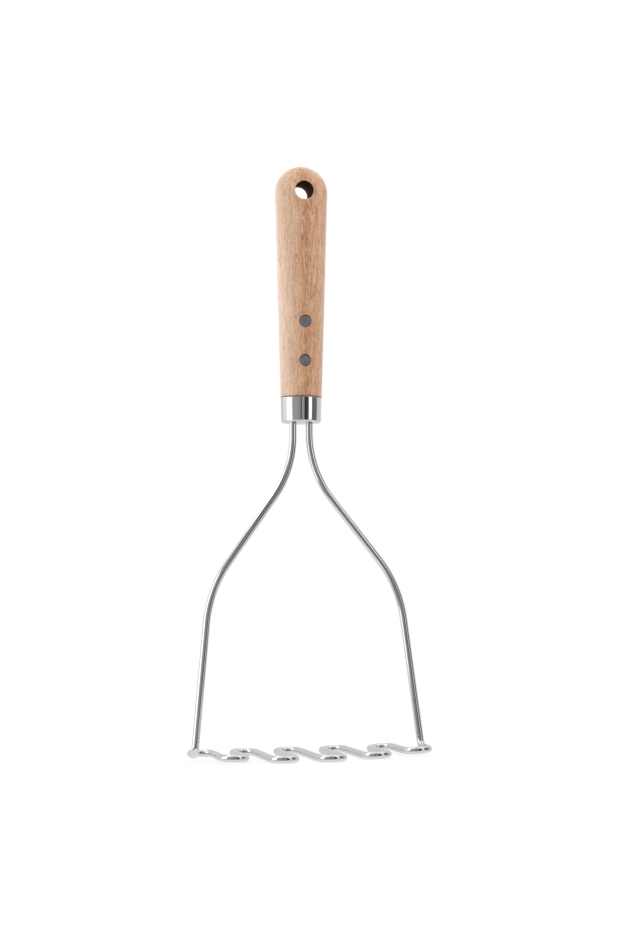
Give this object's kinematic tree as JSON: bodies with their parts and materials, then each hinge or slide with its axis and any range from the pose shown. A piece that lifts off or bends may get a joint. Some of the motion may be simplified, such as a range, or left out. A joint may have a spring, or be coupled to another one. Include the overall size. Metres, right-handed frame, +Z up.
{
  "type": "potato masher",
  "caption": "Hand potato masher: a serpentine wire head on two curved wire arms, a steel ferrule and a riveted wooden handle with a hanging hole.",
  "frame": {"origin": "on the surface that the head stands on, below the middle of the head", "axes": "+X along the head from the left foot to the right foot, +Y to the rear, +Z up towards the handle"},
  "size_m": [0.1196, 0.0674, 0.3004],
  "materials": {
    "steel_wire": "bright drawn and polished",
    "ferrule_steel": "mirror polished",
    "beech": "sanded, dry oiled",
    "rivet_steel": "matt, filed flush"
  },
  "bodies": {
    "root": {"masher_wire": "steel_wire", "ferrule": "ferrule_steel", "wooden_handle": "beech", "lower_rivet": "rivet_steel", "upper_rivet": "rivet_steel"}
  },
  "joints": []
}
